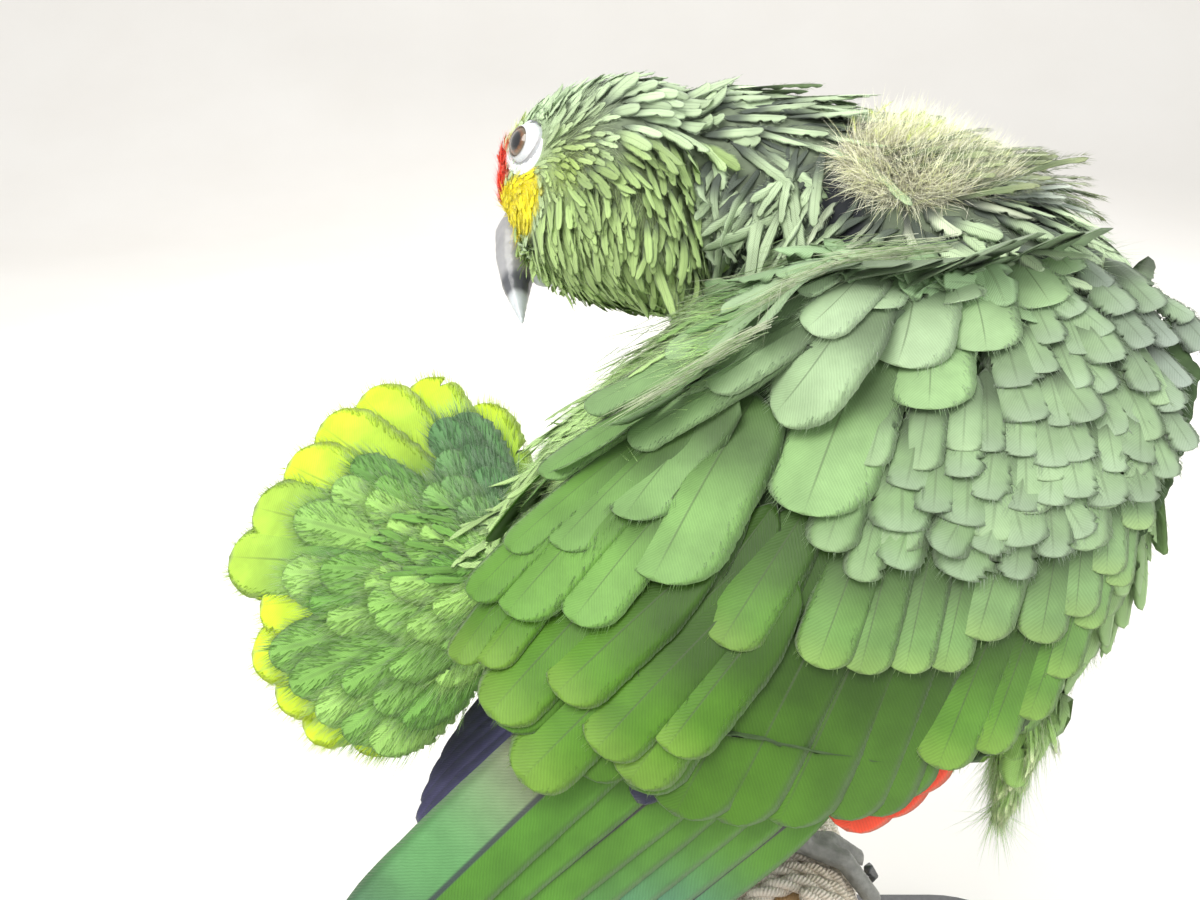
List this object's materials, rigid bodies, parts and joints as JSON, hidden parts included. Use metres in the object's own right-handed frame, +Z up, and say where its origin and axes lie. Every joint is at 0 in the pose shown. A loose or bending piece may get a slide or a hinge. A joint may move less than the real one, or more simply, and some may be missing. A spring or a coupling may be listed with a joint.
{
  "type": "amazon parrot model",
  "caption": "Life-size still model of a red-lored amazon parrot looking back over its shoulder with its tail fanned, gripping a rope-wrapped perch on a plain display stand.",
  "frame": {"origin": "middle of the underside of the display base, under the middle of the perch", "axes": "+Z up, +X towards the breast, -Y towards the bird's right side, perch along Y"},
  "size_m": [0.2567, 0.1628, 0.2858],
  "materials": {
    "plumage": "matte",
    "head_plumage": "matte",
    "flight_feathers": "satin",
    "tail_feathers": "satin",
    "horn": "satin",
    "eye": "gloss",
    "scaly_skin": "matte",
    "claw": "satin",
    "rope": "matte",
    "wood": "satin",
    "stand": "satin"
  },
  "bodies": {
    "root": {"bill_upper": "horn", "bill_lower": "horn", "head": "head_plumage", "eye_left": "eye", "eye_right": "eye", "neck": "head_plumage", "trunk": "plumage", "wing_right": "plumage", "secondaries_right": "flight_feathers", "primaries_right": "flight_feathers", "wing_left": "plumage", "secondaries_left": "flight_feathers", "primaries_left": "flight_feathers", "tail": "tail_feathers", "rectrices": "tail_feathers", "thigh_right": "plumage", "foot_right": "scaly_skin", "claw_right_inner_front": "claw", "claw_right_outer_front": "claw", "claw_right_inner_back": "claw", "claw_right_outer_back": "claw", "thigh_left": "plumage", "foot_left": "scaly_skin", "claw_left_inner_front": "claw", "claw_left_outer_front": "claw", "claw_left_inner_back": "claw", "claw_left_outer_back": "claw", "perch_bar": "wood", "perch_rope": "rope", "stand_rod": "stand", "stand_base": "stand"}
  },
  "joints": []
}
